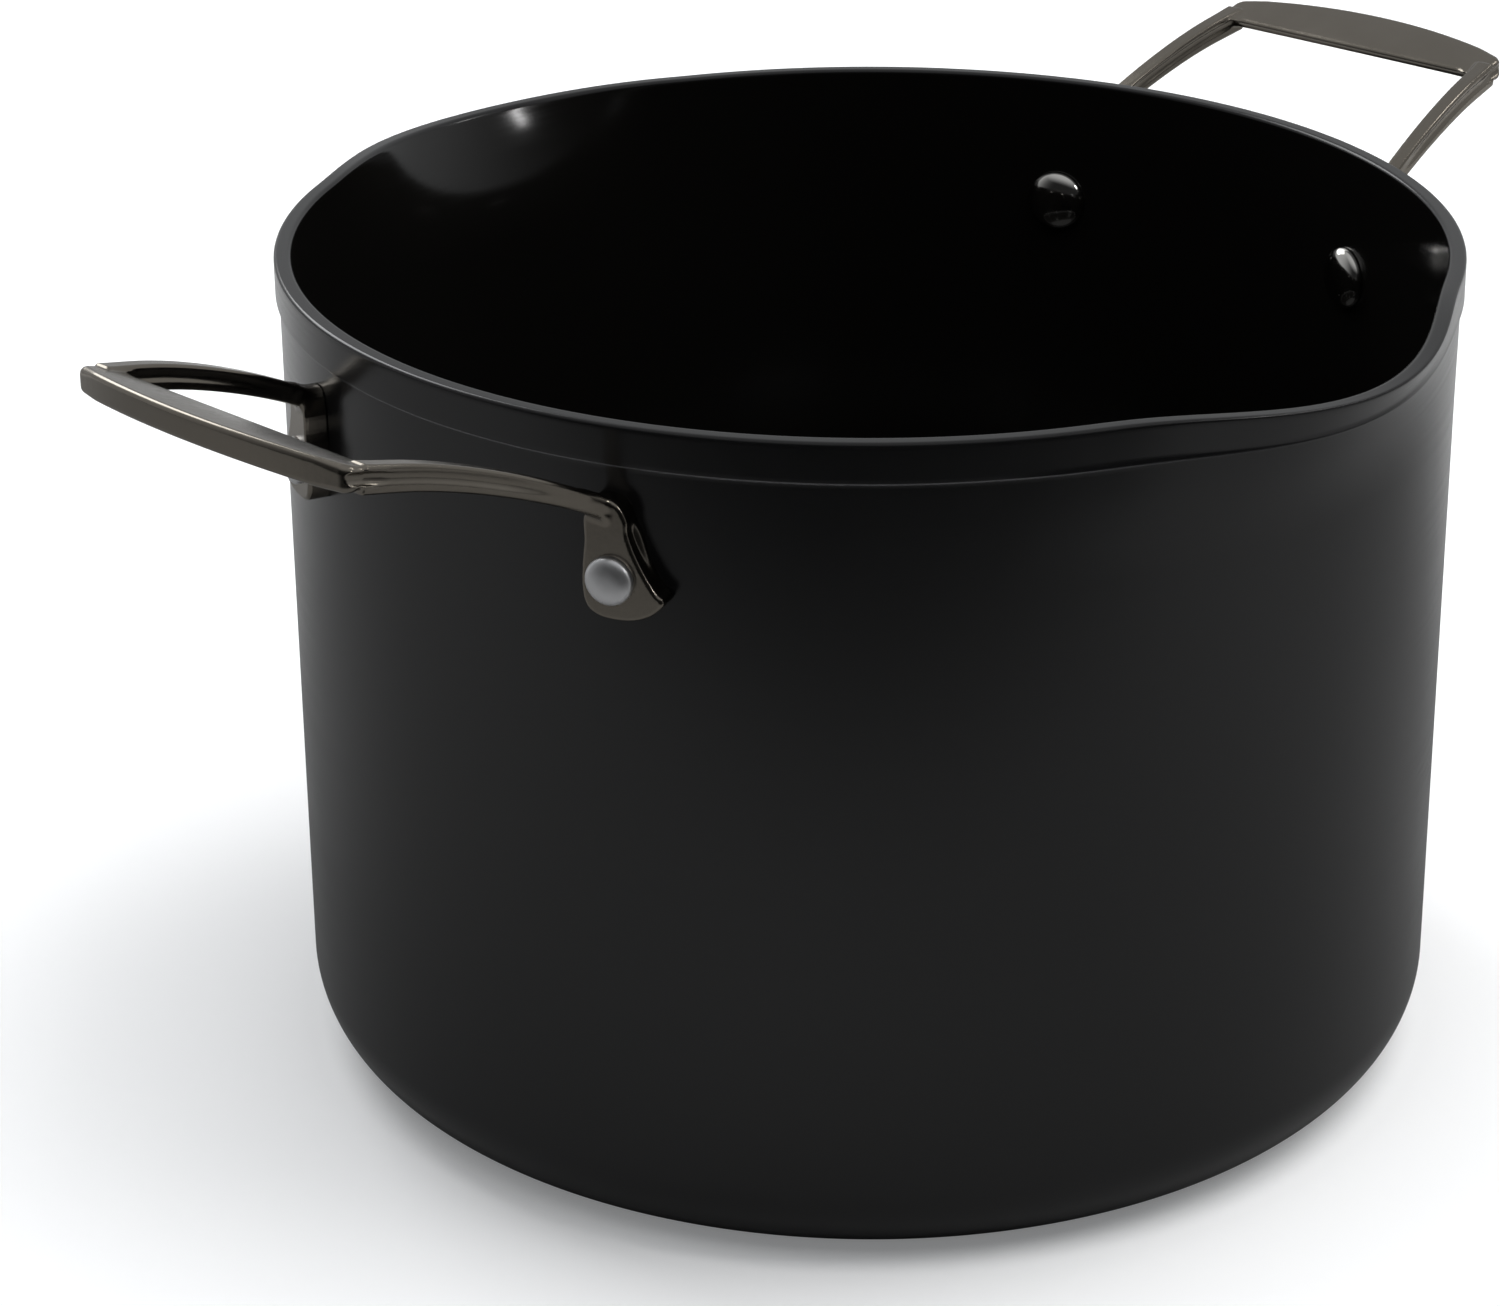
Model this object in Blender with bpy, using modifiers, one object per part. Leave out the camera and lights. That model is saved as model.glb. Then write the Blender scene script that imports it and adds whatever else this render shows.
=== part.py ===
"""Stock pot: a deep-drawn pot body with two pour spouts, two cast side handles and four solid rivets.

Frame: origin at the centre of the base's underside, +Z up. The handles lie on +X and -X, the pour
spouts on +Y and -Y. Lengths are in metres.
"""

import math

import bmesh
import bpy
from mathutils import Matrix, Vector

MM = 0.001

# Pot body
HEIGHT = 175.7 * MM
RIM_R = 123.2 * MM  # outer radius of the rim band
BAND_H = 8.3 * MM  # height of the thicker band under the rim
STEP = 0.8 * MM  # how far the band stands proud of the wall
WALL_R = RIM_R - STEP
RIM_T = 3.65 * MM  # wall thickness at the rim
INNER_R = RIM_R - RIM_T
BASE_T = 4.0 * MM
CORNER_R = 17.5 * MM  # outer radius between wall and base
INNER_CORNER_R = 14.5 * MM
RIM_EDGE = 0.6 * MM  # rounding of the rim's two edges
POT_STEPS = 96

# Pour spouts, one on -Y and one on +Y
SPOUT_BULGE = 9.0 * MM  # how far the rim swells outwards
SPOUT_HALF_ANGLE = math.radians(28.0)
SPOUT_DIP = 2.6 * MM  # how far the lip drops
DIP_HALF_ANGLE = math.radians(25.0)
SPOUT_DEPTH = 31.0 * MM  # the swelling fades out this far below the rim

# Rivets
RIVET_ANGLE = math.radians(20.5)  # either side of the handle's middle
RIVET_Z = HEIGHT - 29.1 * MM
SHANK_R = 2.5 * MM
HOLE_R = 2.8 * MM
HEAD_R = 6.9 * MM  # domed head, inside the pot
HEAD_H = 3.4 * MM
UPSET_R = 4.75 * MM  # upset dome, outside on the pad
UPSET_H = 2.9 * MM
GAP = 0.3 * MM  # between pieces that touch
RIVET_STEPS = 24

# Handle casting, drawn for the handle on +X: X outwards, Y along the grip
PAD_FACE = 127.0 * MM  # distance of the pad's front face from the pot's axis
PAD_BACK = 119.0 * MM
LEG_FOOT = (116.0 * MM, HEIGHT - 17.2 * MM)  # (x, z) where the leg springs from the pad
LEG_LAND = (119.5 * MM, HEIGHT - 14.2 * MM)  # it leaves the pad towards this point
LEG_TOE = (163.6 * MM, HEIGHT + 2.5 * MM)  # (x, z) where it runs into the corner
LEG_SLOPE = math.radians(12.5)
LEG_RUN = 20.5 * MM
LEG_FOOT_Y = 42.3 * MM
LEG_CORNER_Y = 36.6 * MM
LEG_W = 4.2 * MM
LEG_H = 5.4 * MM
FLUTE_W = 2.7 * MM
FLUTE_DEPTH = 0.6 * MM
GRIP_IN_X = 167.3 * MM  # straight inner edge of the grip
GRIP_CORNER_X = 175.0 * MM
GRIP_BOW_X = 180.5 * MM  # outer edge at the middle
GRIP_TILT = math.radians(20.5)
GRIP_IN_TOP = HEIGHT + 5.2 * MM  # height of the grip's top face at its inner edge
GRIP_IN_T = 2.0 * MM
GRIP_OUT_T = 6.3 * MM
WINDOW_HALF_Y = 33.9 * MM
CORNER_HALF_Y = 38.4 * MM


def clear_scene():
    for obj in list(bpy.data.objects):
        bpy.data.objects.remove(obj, do_unlink=True)
    for coll in list(bpy.data.collections):
        bpy.data.collections.remove(coll)


def make_material(name, color, roughness, metallic):
    mat = bpy.data.materials.new(name)
    mat.use_nodes = True
    bsdf = mat.node_tree.nodes["Principled BSDF"]
    bsdf.inputs["Base Color"].default_value = (*color, 1.0)
    bsdf.inputs["Roughness"].default_value = roughness
    bsdf.inputs["Metallic"].default_value = metallic
    mat.diffuse_color = (*color, 1.0)
    return mat


def window(x, power=2):
    """1 at x = 0, falling smoothly to 0 at |x| = 1."""
    return math.cos(0.5 * math.pi * min(abs(x), 1.0)) ** power


def arc(cx, cz, radius, start, end, count):
    """Points on an arc in the XZ plane, angles in degrees from +X towards +Z."""
    points = []
    for i in range(count + 1):
        a = math.radians(start + (end - start) * i / count)
        points.append((cx + radius * math.cos(a), cz + radius * math.sin(a)))
    return points


def mesh_object(name, verts, edges, faces, collection):
    mesh = bpy.data.meshes.new(name)
    mesh.from_pydata(verts, edges, faces)
    mesh.update()
    obj = bpy.data.objects.new(name, mesh)
    collection.objects.link(obj)
    return obj


def turned(name, profile, steps, collection):
    """A profile of (radius, z) points turned about Z with a Screw modifier."""
    verts = [(r, 0.0, z) for r, z in profile]
    edges = [(i, i + 1) for i in range(len(verts) - 1)]
    obj = mesh_object(name, verts, edges, [], collection)
    screw = obj.modifiers.new("turn", "SCREW")
    screw.axis = "Z"
    screw.angle = 2 * math.pi
    screw.steps = steps
    screw.render_steps = steps
    screw.use_merge_vertices = True
    screw.merge_threshold = 0.00001
    screw.use_smooth_shade = True
    return obj


def evaluated_mesh(obj):
    """The object's mesh with its modifiers applied."""
    bpy.context.view_layer.update()
    graph = bpy.context.evaluated_depsgraph_get()
    return bpy.data.meshes.new_from_object(obj.evaluated_get(graph))


def bake(obj):
    """Applies the object's modifiers."""
    mesh = evaluated_mesh(obj)
    old = obj.data
    obj.modifiers.clear()
    obj.data = mesh
    bpy.data.meshes.remove(old)
    return obj


def curve_to_mesh(curve_obj, name, collection):
    """A mesh object from a curve, in world coordinates, with its caps welded to its sides."""
    bpy.context.view_layer.update()
    graph = bpy.context.evaluated_depsgraph_get()
    mesh = bpy.data.meshes.new_from_object(curve_obj.evaluated_get(graph))
    mesh.transform(curve_obj.matrix_world)
    bm = bmesh.new()
    bm.from_mesh(mesh)
    bmesh.ops.remove_doubles(bm, verts=bm.verts, dist=0.00001)
    bmesh.ops.recalc_face_normals(bm, faces=bm.faces)
    bm.to_mesh(mesh)
    bm.free()
    mesh.name = name
    obj = bpy.data.objects.new(name, mesh)
    collection.objects.link(obj)
    bpy.data.objects.remove(curve_obj, do_unlink=True)
    return obj


def outline_plate(name, outline, thickness, matrix, collection):
    """A flat closed outline, extruded by half its thickness each way."""
    curve = bpy.data.curves.new(name + "_outline", "CURVE")
    curve.dimensions = "2D"
    curve.fill_mode = "BOTH"
    curve.extrude = thickness / 2
    spline = curve.splines.new("POLY")
    spline.points.add(len(outline) - 1)
    for point, (x, y) in zip(spline.points, outline):
        point.co = (x, y, 0.0, 1.0)
    spline.use_cyclic_u = True
    obj = bpy.data.objects.new(name + "_outline", curve)
    obj.matrix_world = matrix
    collection.objects.link(obj)
    return curve_to_mesh(obj, name, collection)


def boolean(obj, cutter, operation):
    mod = obj.modifiers.new(operation.lower(), "BOOLEAN")
    mod.operation = operation
    mod.solver = "EXACT"
    mod.object = cutter
    return mod


def as_cutter(obj):
    obj.hide_render = True
    obj.display_type = "WIRE"
    return obj


def cylinder_cutter(name, radius, start, end, matrix, collection, segments=24):
    """A closed cylinder about the matrix's Z, from start to end along it."""
    mesh = bpy.data.meshes.new(name)
    bm = bmesh.new()
    bmesh.ops.create_cone(
        bm,
        cap_ends=True,
        segments=segments,
        radius1=radius,
        radius2=radius,
        depth=end - start,
        matrix=Matrix.Translation((0, 0, (start + end) / 2)),
    )
    bm.to_mesh(mesh)
    bm.free()
    obj = bpy.data.objects.new(name, mesh)
    obj.matrix_world = matrix
    collection.objects.link(obj)
    return as_cutter(obj)


def box_cutter(name, size, matrix, collection):
    mesh = bpy.data.meshes.new(name)
    bm = bmesh.new()
    bmesh.ops.create_cube(bm, size=1.0, matrix=Matrix.Diagonal((*size, 1.0)))
    bm.to_mesh(mesh)
    bm.free()
    obj = bpy.data.objects.new(name, mesh)
    obj.matrix_world = matrix
    collection.objects.link(obj)
    return as_cutter(obj)


def rivet_matrix(angle):
    """Local Z runs radially outwards at this angle, local X points up, and the origin is on the pot's axis."""
    out = Vector((math.cos(angle), math.sin(angle), 0))
    up = Vector((0, 0, 1))
    side = out.cross(up)
    matrix = Matrix((up, side, out)).transposed().to_4x4()
    matrix.translation = (0, 0, RIVET_Z)
    return matrix


def pot_profile():
    """(radius, z) from the middle of the floor up the inside, over the rim and down the outside."""
    points = [(0.0, BASE_T), (INNER_R * 0.45, BASE_T)]
    points += arc(
        INNER_R - INNER_CORNER_R, BASE_T + INNER_CORNER_R, INNER_CORNER_R, -90, 0, 6
    )
    for down in (60, 36, 28, 21, 15, 9, 4):
        points.append((INNER_R, HEIGHT - down * MM))
    points += [
        (INNER_R, HEIGHT - RIM_EDGE),
        (INNER_R + RIM_EDGE, HEIGHT),
        (RIM_R - RIM_EDGE, HEIGHT),
        (RIM_R, HEIGHT - RIM_EDGE),
        (RIM_R, HEIGHT - 4 * MM),
        (RIM_R, HEIGHT - BAND_H + STEP * 0.5),
        (WALL_R, HEIGHT - BAND_H),
    ]
    for down in (15, 21, 28, 36, 60):
        points.append((WALL_R, HEIGHT - down * MM))
    points += arc(WALL_R - CORNER_R, CORNER_R, CORNER_R, 0, -90, 7)
    points.append((0.0, 0.0))
    return points


def form_spouts(mesh):
    """Swells the rim outwards and dips the lip at +Y and -Y, fading down the wall."""
    for vert in mesh.vertices:
        x, y, z = vert.co
        radius = math.hypot(x, y)
        depth = (HEIGHT - z) / SPOUT_DEPTH
        if radius < INNER_R - 1 * MM or depth >= 1:
            continue
        away = math.atan2(abs(x), abs(y))  # angle from the nearer spout's middle
        fade = (1 - depth) ** 2  # the wall flares most at the lip itself
        swell = SPOUT_BULGE * window(away / SPOUT_HALF_ANGLE) * fade
        dip = SPOUT_DIP * window(away / DIP_HALF_ANGLE) * fade
        grown = (radius + swell) / radius
        vert.co = (x * grown, y * grown, z - dip)


def make_pot(parts, cutters):
    pot = turned("pot_body", pot_profile(), POT_STEPS, parts)
    bake(pot)
    form_spouts(pot.data)
    for side, name in ((0.0, "right"), (math.pi, "left")):
        for sign in (-1, 1):
            hole = cylinder_cutter(
                f"wall_hole_{name}_{'back' if sign > 0 else 'front'}",
                HOLE_R,
                105 * MM,
                135 * MM,
                rivet_matrix(side + sign * RIVET_ANGLE),
                cutters,
                16,
            )
            boolean(pot, hole, "DIFFERENCE")
    return pot


def pad_outline():
    """The teardrop pad on the +Y side, seen from outside: x up, y towards +Y, from the rivet's centre."""
    rivet_to = {
        "inner": -5.8 * MM,
        "bottom": -8.8 * MM,
        "outer": 10.6 * MM,
        "top": 14.5 * MM,
    }
    inner, bottom, outer, top = rivet_to.values()
    points = [(top, inner + 0.6 * MM), (6 * MM, inner + 0.2 * MM), (-3 * MM, inner)]
    # rounded inner bottom corner, bowed lower edge, tight outer bottom corner
    for a in (20, 45, 70):
        t = math.radians(a)
        points.append(
            (
                -3 * MM - 5.0 * MM * math.sin(t),
                inner + 4.6 * MM * (1 - math.cos(t)),
            )
        )
    points += [
        (bottom, 1.2 * MM),
        (-8.5 * MM, 4.6 * MM),
        (-7.2 * MM, 8.0 * MM),
        (-5.4 * MM, outer - 0.5 * MM),
        (-3.8 * MM, outer),
        (-1.6 * MM, outer - 1.3 * MM),
        (3.5 * MM, 6.3 * MM),
        (8.6 * MM, 3.7 * MM),
        (top, 1.8 * MM),
    ]
    return points


def leg_path(sign, count=12):
    """Points of one leg's centre line, from inside its pad to inside the grip's corner."""
    p0 = Vector((LEG_FOOT[0], LEG_FOOT[1]))
    p1 = Vector((LEG_LAND[0], LEG_LAND[1]))
    p3 = Vector((LEG_TOE[0], LEG_TOE[1]))
    along = Vector((math.cos(LEG_SLOPE), math.sin(LEG_SLOPE)))
    p2 = p3 - along * LEG_RUN
    flat = []
    for i in range(count):
        t = i / (count - 1)
        flat.append(
            (1 - t) ** 3 * p0 + 3 * (1 - t) ** 2 * t * p1 + 3 * (1 - t) * t * t * p2 + t**3 * p3
        )
    flat.append(p3 + along * 6 * MM)
    points = []
    for p in flat:
        share = (p.x - LEG_FOOT[0]) / (GRIP_IN_X - LEG_FOOT[0])
        y = LEG_FOOT_Y + (LEG_CORNER_Y - LEG_FOOT_Y) * share
        points.append((p.x, sign * y, p.y, 0.86 + 0.21 * min(share, 1.0)))
    return points


def leg_section():
    """Outline of a leg's fluted section: x across, y up."""
    w, h, f, d = LEG_W / 2, LEG_H / 2, FLUTE_W / 2, FLUTE_DEPTH
    c = 0.7 * MM
    quarter = [(w - c, h), (w, h - c), (w, f), (w - d, f - d), (w - d, 0)]
    right = quarter + [(x, -y) for x, y in reversed(quarter[:-1])]
    return right + [(-x, -y) for x, y in right]


def make_leg(name, sign, parts):
    section = bpy.data.curves.new("leg_section", "CURVE")
    section.dimensions = "2D"
    spline = section.splines.new("POLY")
    outline = leg_section()
    spline.points.add(len(outline) - 1)
    for point, (x, y) in zip(spline.points, outline):
        point.co = (x, y, 0, 1)
    spline.use_cyclic_u = True
    section_obj = bpy.data.objects.new("leg_section", section)
    parts.objects.link(section_obj)

    path = bpy.data.curves.new(name, "CURVE")
    path.dimensions = "3D"
    path.twist_mode = "Z_UP"
    path.bevel_mode = "OBJECT"
    path.bevel_object = section_obj
    path.use_fill_caps = True
    spline = path.splines.new("POLY")
    points = leg_path(sign)
    spline.points.add(len(points) - 1)
    for point, (x, y, z, scale) in zip(spline.points, points):
        point.co = (x, y, z, 1)
        point.radius = scale
    obj = bpy.data.objects.new(name + "_path", path)
    parts.objects.link(obj)
    leg = curve_to_mesh(obj, name, parts)
    bpy.data.objects.remove(section_obj, do_unlink=True)
    return leg


def grip_outline():
    """The crescent grip with a stub of each leg, in plan."""
    half = []
    bow = 8
    tip_y = CORNER_HALF_Y - 2.3 * MM
    for i in range(bow + 1):
        y = tip_y * i / bow
        s = y / CORNER_HALF_Y
        half.append((GRIP_CORNER_X + (GRIP_BOW_X - GRIP_CORNER_X) * (1 - s * s), y))
    # rounded tip, turning from the bowed edge to the leg's outer side
    start = math.radians(105)
    radius = (CORNER_HALF_Y - tip_y) / (1 + math.cos(start))
    x0, y0 = half[-1]
    for i in range(1, 6):
        a = start + (math.pi - start) * i / 5
        half.append(
            (
                x0 + radius * (math.sin(a) - math.sin(start)),
                y0 + radius * (math.cos(start) - math.cos(a)),
            )
        )
    half += [
        (GRIP_IN_X - 3.6 * MM, CORNER_HALF_Y + 0.4 * MM),
        (GRIP_IN_X - 6.0 * MM, CORNER_HALF_Y + 0.1 * MM),
        (GRIP_IN_X - 7.0 * MM, WINDOW_HALF_Y + 1.2 * MM),
    ]
    fillet = 4.0 * MM
    for a in (0, 30, 60, 90):
        t = math.radians(a)
        half.append(
            (
                GRIP_IN_X - fillet * (1 - math.sin(t)),
                WINDOW_HALF_Y - fillet * (1 - math.cos(t)),
            )
        )
    return half + [(x, -y) for x, y in reversed(half) if y > 0.1 * MM]


def make_handle_mesh(parts, cutters):
    """The whole casting for the +X side, as one mesh."""
    grip = outline_plate(
        "grip",
        grip_outline(),
        30 * MM,
        Matrix.Translation((0, 0, HEIGHT)),
        parts,
    )
    # Top face: tilted up and outwards. Underside: nearly level, so that the inner edge is thin.
    tilt_in = Vector((GRIP_IN_X, 0, GRIP_IN_TOP))
    top = Matrix.Translation(tilt_in) @ Matrix.Rotation(-GRIP_TILT, 4, "Y")
    boolean(
        grip,
        box_cutter(
            "grip_top_cut",
            (90 * MM, 120 * MM, 30 * MM),
            top @ Matrix.Translation((0, 0, 15 * MM)),
            cutters,
        ),
        "DIFFERENCE",
    )
    rise = math.tan(GRIP_TILT) * (GRIP_BOW_X - GRIP_IN_X)
    under = math.atan2(rise + GRIP_IN_T - GRIP_OUT_T, GRIP_BOW_X - GRIP_IN_X)
    low = Matrix.Translation(tilt_in - Vector((0, 0, GRIP_IN_T))) @ Matrix.Rotation(
        -under, 4, "Y"
    )
    boolean(
        grip,
        box_cutter(
            "grip_under_cut",
            (90 * MM, 120 * MM, 30 * MM),
            low @ Matrix.Translation((0, 0, -15 * MM)),
            cutters,
        ),
        "DIFFERENCE",
    )
    bake(grip)

    pieces = []
    for sign, name in ((1, "a"), (-1, "b")):
        pieces.append(make_leg("leg_" + name, sign, parts))
        frame = rivet_matrix(sign * RIVET_ANGLE)
        outline = [(x, -sign * y) for x, y in pad_outline()]
        middle = Matrix.Translation((0, 0, (PAD_FACE + PAD_BACK) / 2))
        pieces.append(
            outline_plate(
                "pad_" + name, outline, PAD_FACE - PAD_BACK, frame @ middle, parts
            )
        )
    for piece in pieces:
        boolean(grip, piece, "UNION")
    bake(grip)
    for piece in pieces:
        bpy.data.objects.remove(piece, do_unlink=True)

    boolean(
        grip,
        cylinder_cutter(
            "wall_clearance", WALL_R + GAP, 0, 2 * HEIGHT, Matrix(), cutters, 192
        ),
        "DIFFERENCE",
    )
    for sign in (-1, 1):
        boolean(
            grip,
            cylinder_cutter(
                f"pad_hole_{'a' if sign > 0 else 'b'}",
                HOLE_R,
                105 * MM,
                140 * MM,
                rivet_matrix(sign * RIVET_ANGLE),
                cutters,
                16,
            ),
            "DIFFERENCE",
        )
    bake(grip)
    mesh = grip.data
    bpy.data.objects.remove(grip, do_unlink=True)
    return mesh


def rivet_profile():
    """(radius, z) with z the distance from the pot's axis: the outer dome's top down to the inner head."""
    pad = PAD_FACE + GAP
    wall = math.sqrt(INNER_R**2 - HEAD_R**2) - GAP
    top = pad + UPSET_H
    points = [(0.0, top)]
    for a in (70, 50, 30, 10):
        t = math.radians(a)
        points.append((UPSET_R * math.cos(t), pad + 0.5 * MM + (UPSET_H - 0.5 * MM) * math.sin(t)))
    points += [(UPSET_R, pad), (SHANK_R, pad), (SHANK_R, wall), (HEAD_R, wall)]
    for a in (10, 30, 50, 70):
        t = math.radians(a)
        points.append((HEAD_R * math.cos(t), wall - 0.4 * MM - (HEAD_H - 0.4 * MM) * math.sin(t)))
    points.append((0.0, wall - HEAD_H))
    return points


def main():
    clear_scene()
    scene = bpy.context.scene
    parts = bpy.data.collections.new("stock_pot")
    cutters = bpy.data.collections.new("cutters")
    scene.collection.children.link(parts)
    scene.collection.children.link(cutters)

    anodised = make_material("anodised_aluminium", (0.012, 0.012, 0.013), 0.38, 0.35)
    gunmetal = make_material("gunmetal_steel", (0.17, 0.155, 0.135), 0.2, 1.0)
    steel = make_material("rivet_steel", (0.62, 0.6, 0.58), 0.22, 1.0)

    pot = make_pot(parts, cutters)
    pot.data.materials.append(anodised)

    casting = make_handle_mesh(parts, cutters)
    casting.materials.clear()
    casting.materials.append(gunmetal)
    casting.name = "handle_casting"
    for name, turn in (("handle_right", 0.0), ("handle_left", math.pi)):
        handle = bpy.data.objects.new(name, casting)
        handle.rotation_euler = (0, 0, turn)
        parts.objects.link(handle)

    rivet_mesh = None
    for side, base in (("right", 0.0), ("left", math.pi)):
        for sign in (-1, 1):
            # "front" is the -Y one of each pair
            front = sign < 0 if side == "right" else sign > 0
            name = f"rivet_{side}_{'front' if front else 'back'}"
            rivet = turned(name, rivet_profile(), RIVET_STEPS, parts)
            if rivet_mesh is None:
                rivet_mesh = rivet.data
                rivet_mesh.materials.append(steel)
            else:
                old = rivet.data
                rivet.data = rivet_mesh
                bpy.data.meshes.remove(old)
            rivet.matrix_world = rivet_matrix(base + sign * RIVET_ANGLE)

    for mesh in {o.data for o in parts.objects if o.type == "MESH"}:
        mesh.shade_smooth()
        if mesh.polygons:
            mesh.set_sharp_from_angle(angle=math.radians(35))


main()
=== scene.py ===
import math

import bmesh
import bpy
import numpy as np
from mathutils import Matrix, Vector


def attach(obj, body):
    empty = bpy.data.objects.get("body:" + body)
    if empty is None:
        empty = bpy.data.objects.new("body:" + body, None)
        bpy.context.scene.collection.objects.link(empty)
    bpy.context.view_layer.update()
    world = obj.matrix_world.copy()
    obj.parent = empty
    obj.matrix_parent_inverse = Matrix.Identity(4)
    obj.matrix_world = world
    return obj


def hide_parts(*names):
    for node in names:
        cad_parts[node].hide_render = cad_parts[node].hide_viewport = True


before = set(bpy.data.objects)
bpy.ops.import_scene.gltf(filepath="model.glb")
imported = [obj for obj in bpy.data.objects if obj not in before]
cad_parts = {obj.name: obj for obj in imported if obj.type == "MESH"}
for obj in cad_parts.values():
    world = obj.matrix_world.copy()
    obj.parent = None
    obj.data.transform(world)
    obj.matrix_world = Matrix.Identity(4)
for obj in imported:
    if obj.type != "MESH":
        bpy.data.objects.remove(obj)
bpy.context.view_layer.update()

MM = 0.001

# ---------------------------------------------------------------------------
# Dimensions, in millimetres, in the CAD's frame: handles on +X and -X, spouts
# on +Y and -Y, origin under the middle of the base.
# ---------------------------------------------------------------------------
H = 175.7
RIM_R = 123.2
STEP = 0.8
BAND_H = 8.3
WALL_R = RIM_R - STEP
RIM_T = 3.65
INNER_R = RIM_R - RIM_T
BASE_T = 4.0
CORNER_R = 17.5
INNER_CORNER_R = 14.5
SPOUT_BULGE = 8.97
SPOUT_HALF = math.radians(28.0)
SPOUT_DIP = 2.6
DIP_HALF = math.radians(25.0)
SPOUT_DEPTH = 31.0
RIVET_ANGLE = math.radians(20.5)
RIVET_Z = H - 29.1
PAD_FACE = 127.0


# ---------------------------------------------------------------------------
# Helpers
# ---------------------------------------------------------------------------
def new_object(name, verts, faces, normals=None):
    """An object from points in millimetres and quads or triangles."""
    verts = np.asarray(verts, np.float64) * MM
    mesh = bpy.data.meshes.new(name)
    mesh.from_pydata([tuple(v) for v in verts], [], [tuple(f) for f in faces])
    mesh.update()
    mesh.shade_smooth()
    if normals is not None:
        mesh.normals_split_custom_set_from_vertices([tuple(n) for n in normals])
    obj = bpy.data.objects.new(name, mesh)
    bpy.context.scene.collection.objects.link(obj)
    return obj


def window(x, power=2):
    return np.cos(0.5 * np.pi * np.clip(np.abs(x), 0, 1)) ** power


def smooth(x, lo, hi):
    t = np.clip((x - lo) / (hi - lo), 0, 1)
    return t * t * (3 - 2 * t)


def arc(cx, cz, radius, start, end, count):
    a = np.radians(np.linspace(start, end, count + 1))
    return [(cx + radius * math.cos(t), cz + radius * math.sin(t)) for t in a]


def line(p, q, count):
    """Points strictly between p and q."""
    return [
        (p[0] + (q[0] - p[0]) * i / count, p[1] + (q[1] - p[1]) * i / count)
        for i in range(1, count)
    ]


def joined(*runs):
    out = []
    for run in runs:
        for p in run:
            if not out or math.dist(p, out[-1]) > 1e-4:
                out.append(p)
    return out


# ---------------------------------------------------------------------------
# Pot body: a turned profile, then the two spouts are pressed into it
# ---------------------------------------------------------------------------
def pot_profile():
    """(radius, z) from the floor's middle, up the inside, over the rim, down the outside."""
    floor_in = INNER_R - INNER_CORNER_R
    inner_top = arc(INNER_R + 0.9, H - 0.9, 0.9, 180, 90, 8)
    outer_top = arc(RIM_R - 0.8, H - 0.8, 0.8, 90, 0, 8)
    # The band ends in a rounded edge, then a small hollow where it meets the wall.
    lip_z = H - BAND_H
    band_edge = arc(RIM_R - 0.5, lip_z + 0.5, 0.5, 0, -90, 7)
    hollow = arc(WALL_R + 0.28, lip_z - 0.28, 0.28, 90, 180, 5)
    outside = arc(WALL_R - CORNER_R, CORNER_R, CORNER_R, 0, -84, 34)
    foot = arc(WALL_R - CORNER_R - 1.0, CORNER_R, CORNER_R, -86, -90, 3)
    ring = 84.0
    return joined(
        [(0.02, BASE_T)],
        line((0.02, BASE_T), (floor_in, BASE_T), 26),
        arc(floor_in, BASE_T + INNER_CORNER_R, INNER_CORNER_R, -90, 0, 26),
        line((INNER_R, BASE_T + INNER_CORNER_R), (INNER_R, H - SPOUT_DEPTH), 18),
        line((INNER_R, H - SPOUT_DEPTH), (INNER_R, H - 0.9), 40),
        inner_top,
        line((INNER_R + 0.9, H), (RIM_R - 0.8, H), 4),
        outer_top,
        line((RIM_R, H - 0.8), (RIM_R, lip_z + 0.5), 10),
        band_edge,
        hollow,
        line((WALL_R, lip_z - 0.28), (WALL_R, H - SPOUT_DEPTH), 34),
        line((WALL_R, H - SPOUT_DEPTH), (WALL_R, CORNER_R), 18),
        outside,
        foot,
        line((WALL_R - CORNER_R - 1.0, 0), (ring + 1.2, 0), 6),
        [(ring + 1.2, 0.0), (ring + 0.7, 0.12), (ring, 0.3), (ring - 0.7, 0.12)],
        line((ring - 1.2, 0.0), (0.02, 0.0), 22),
        [(0.02, 0.0)],
    )


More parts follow.
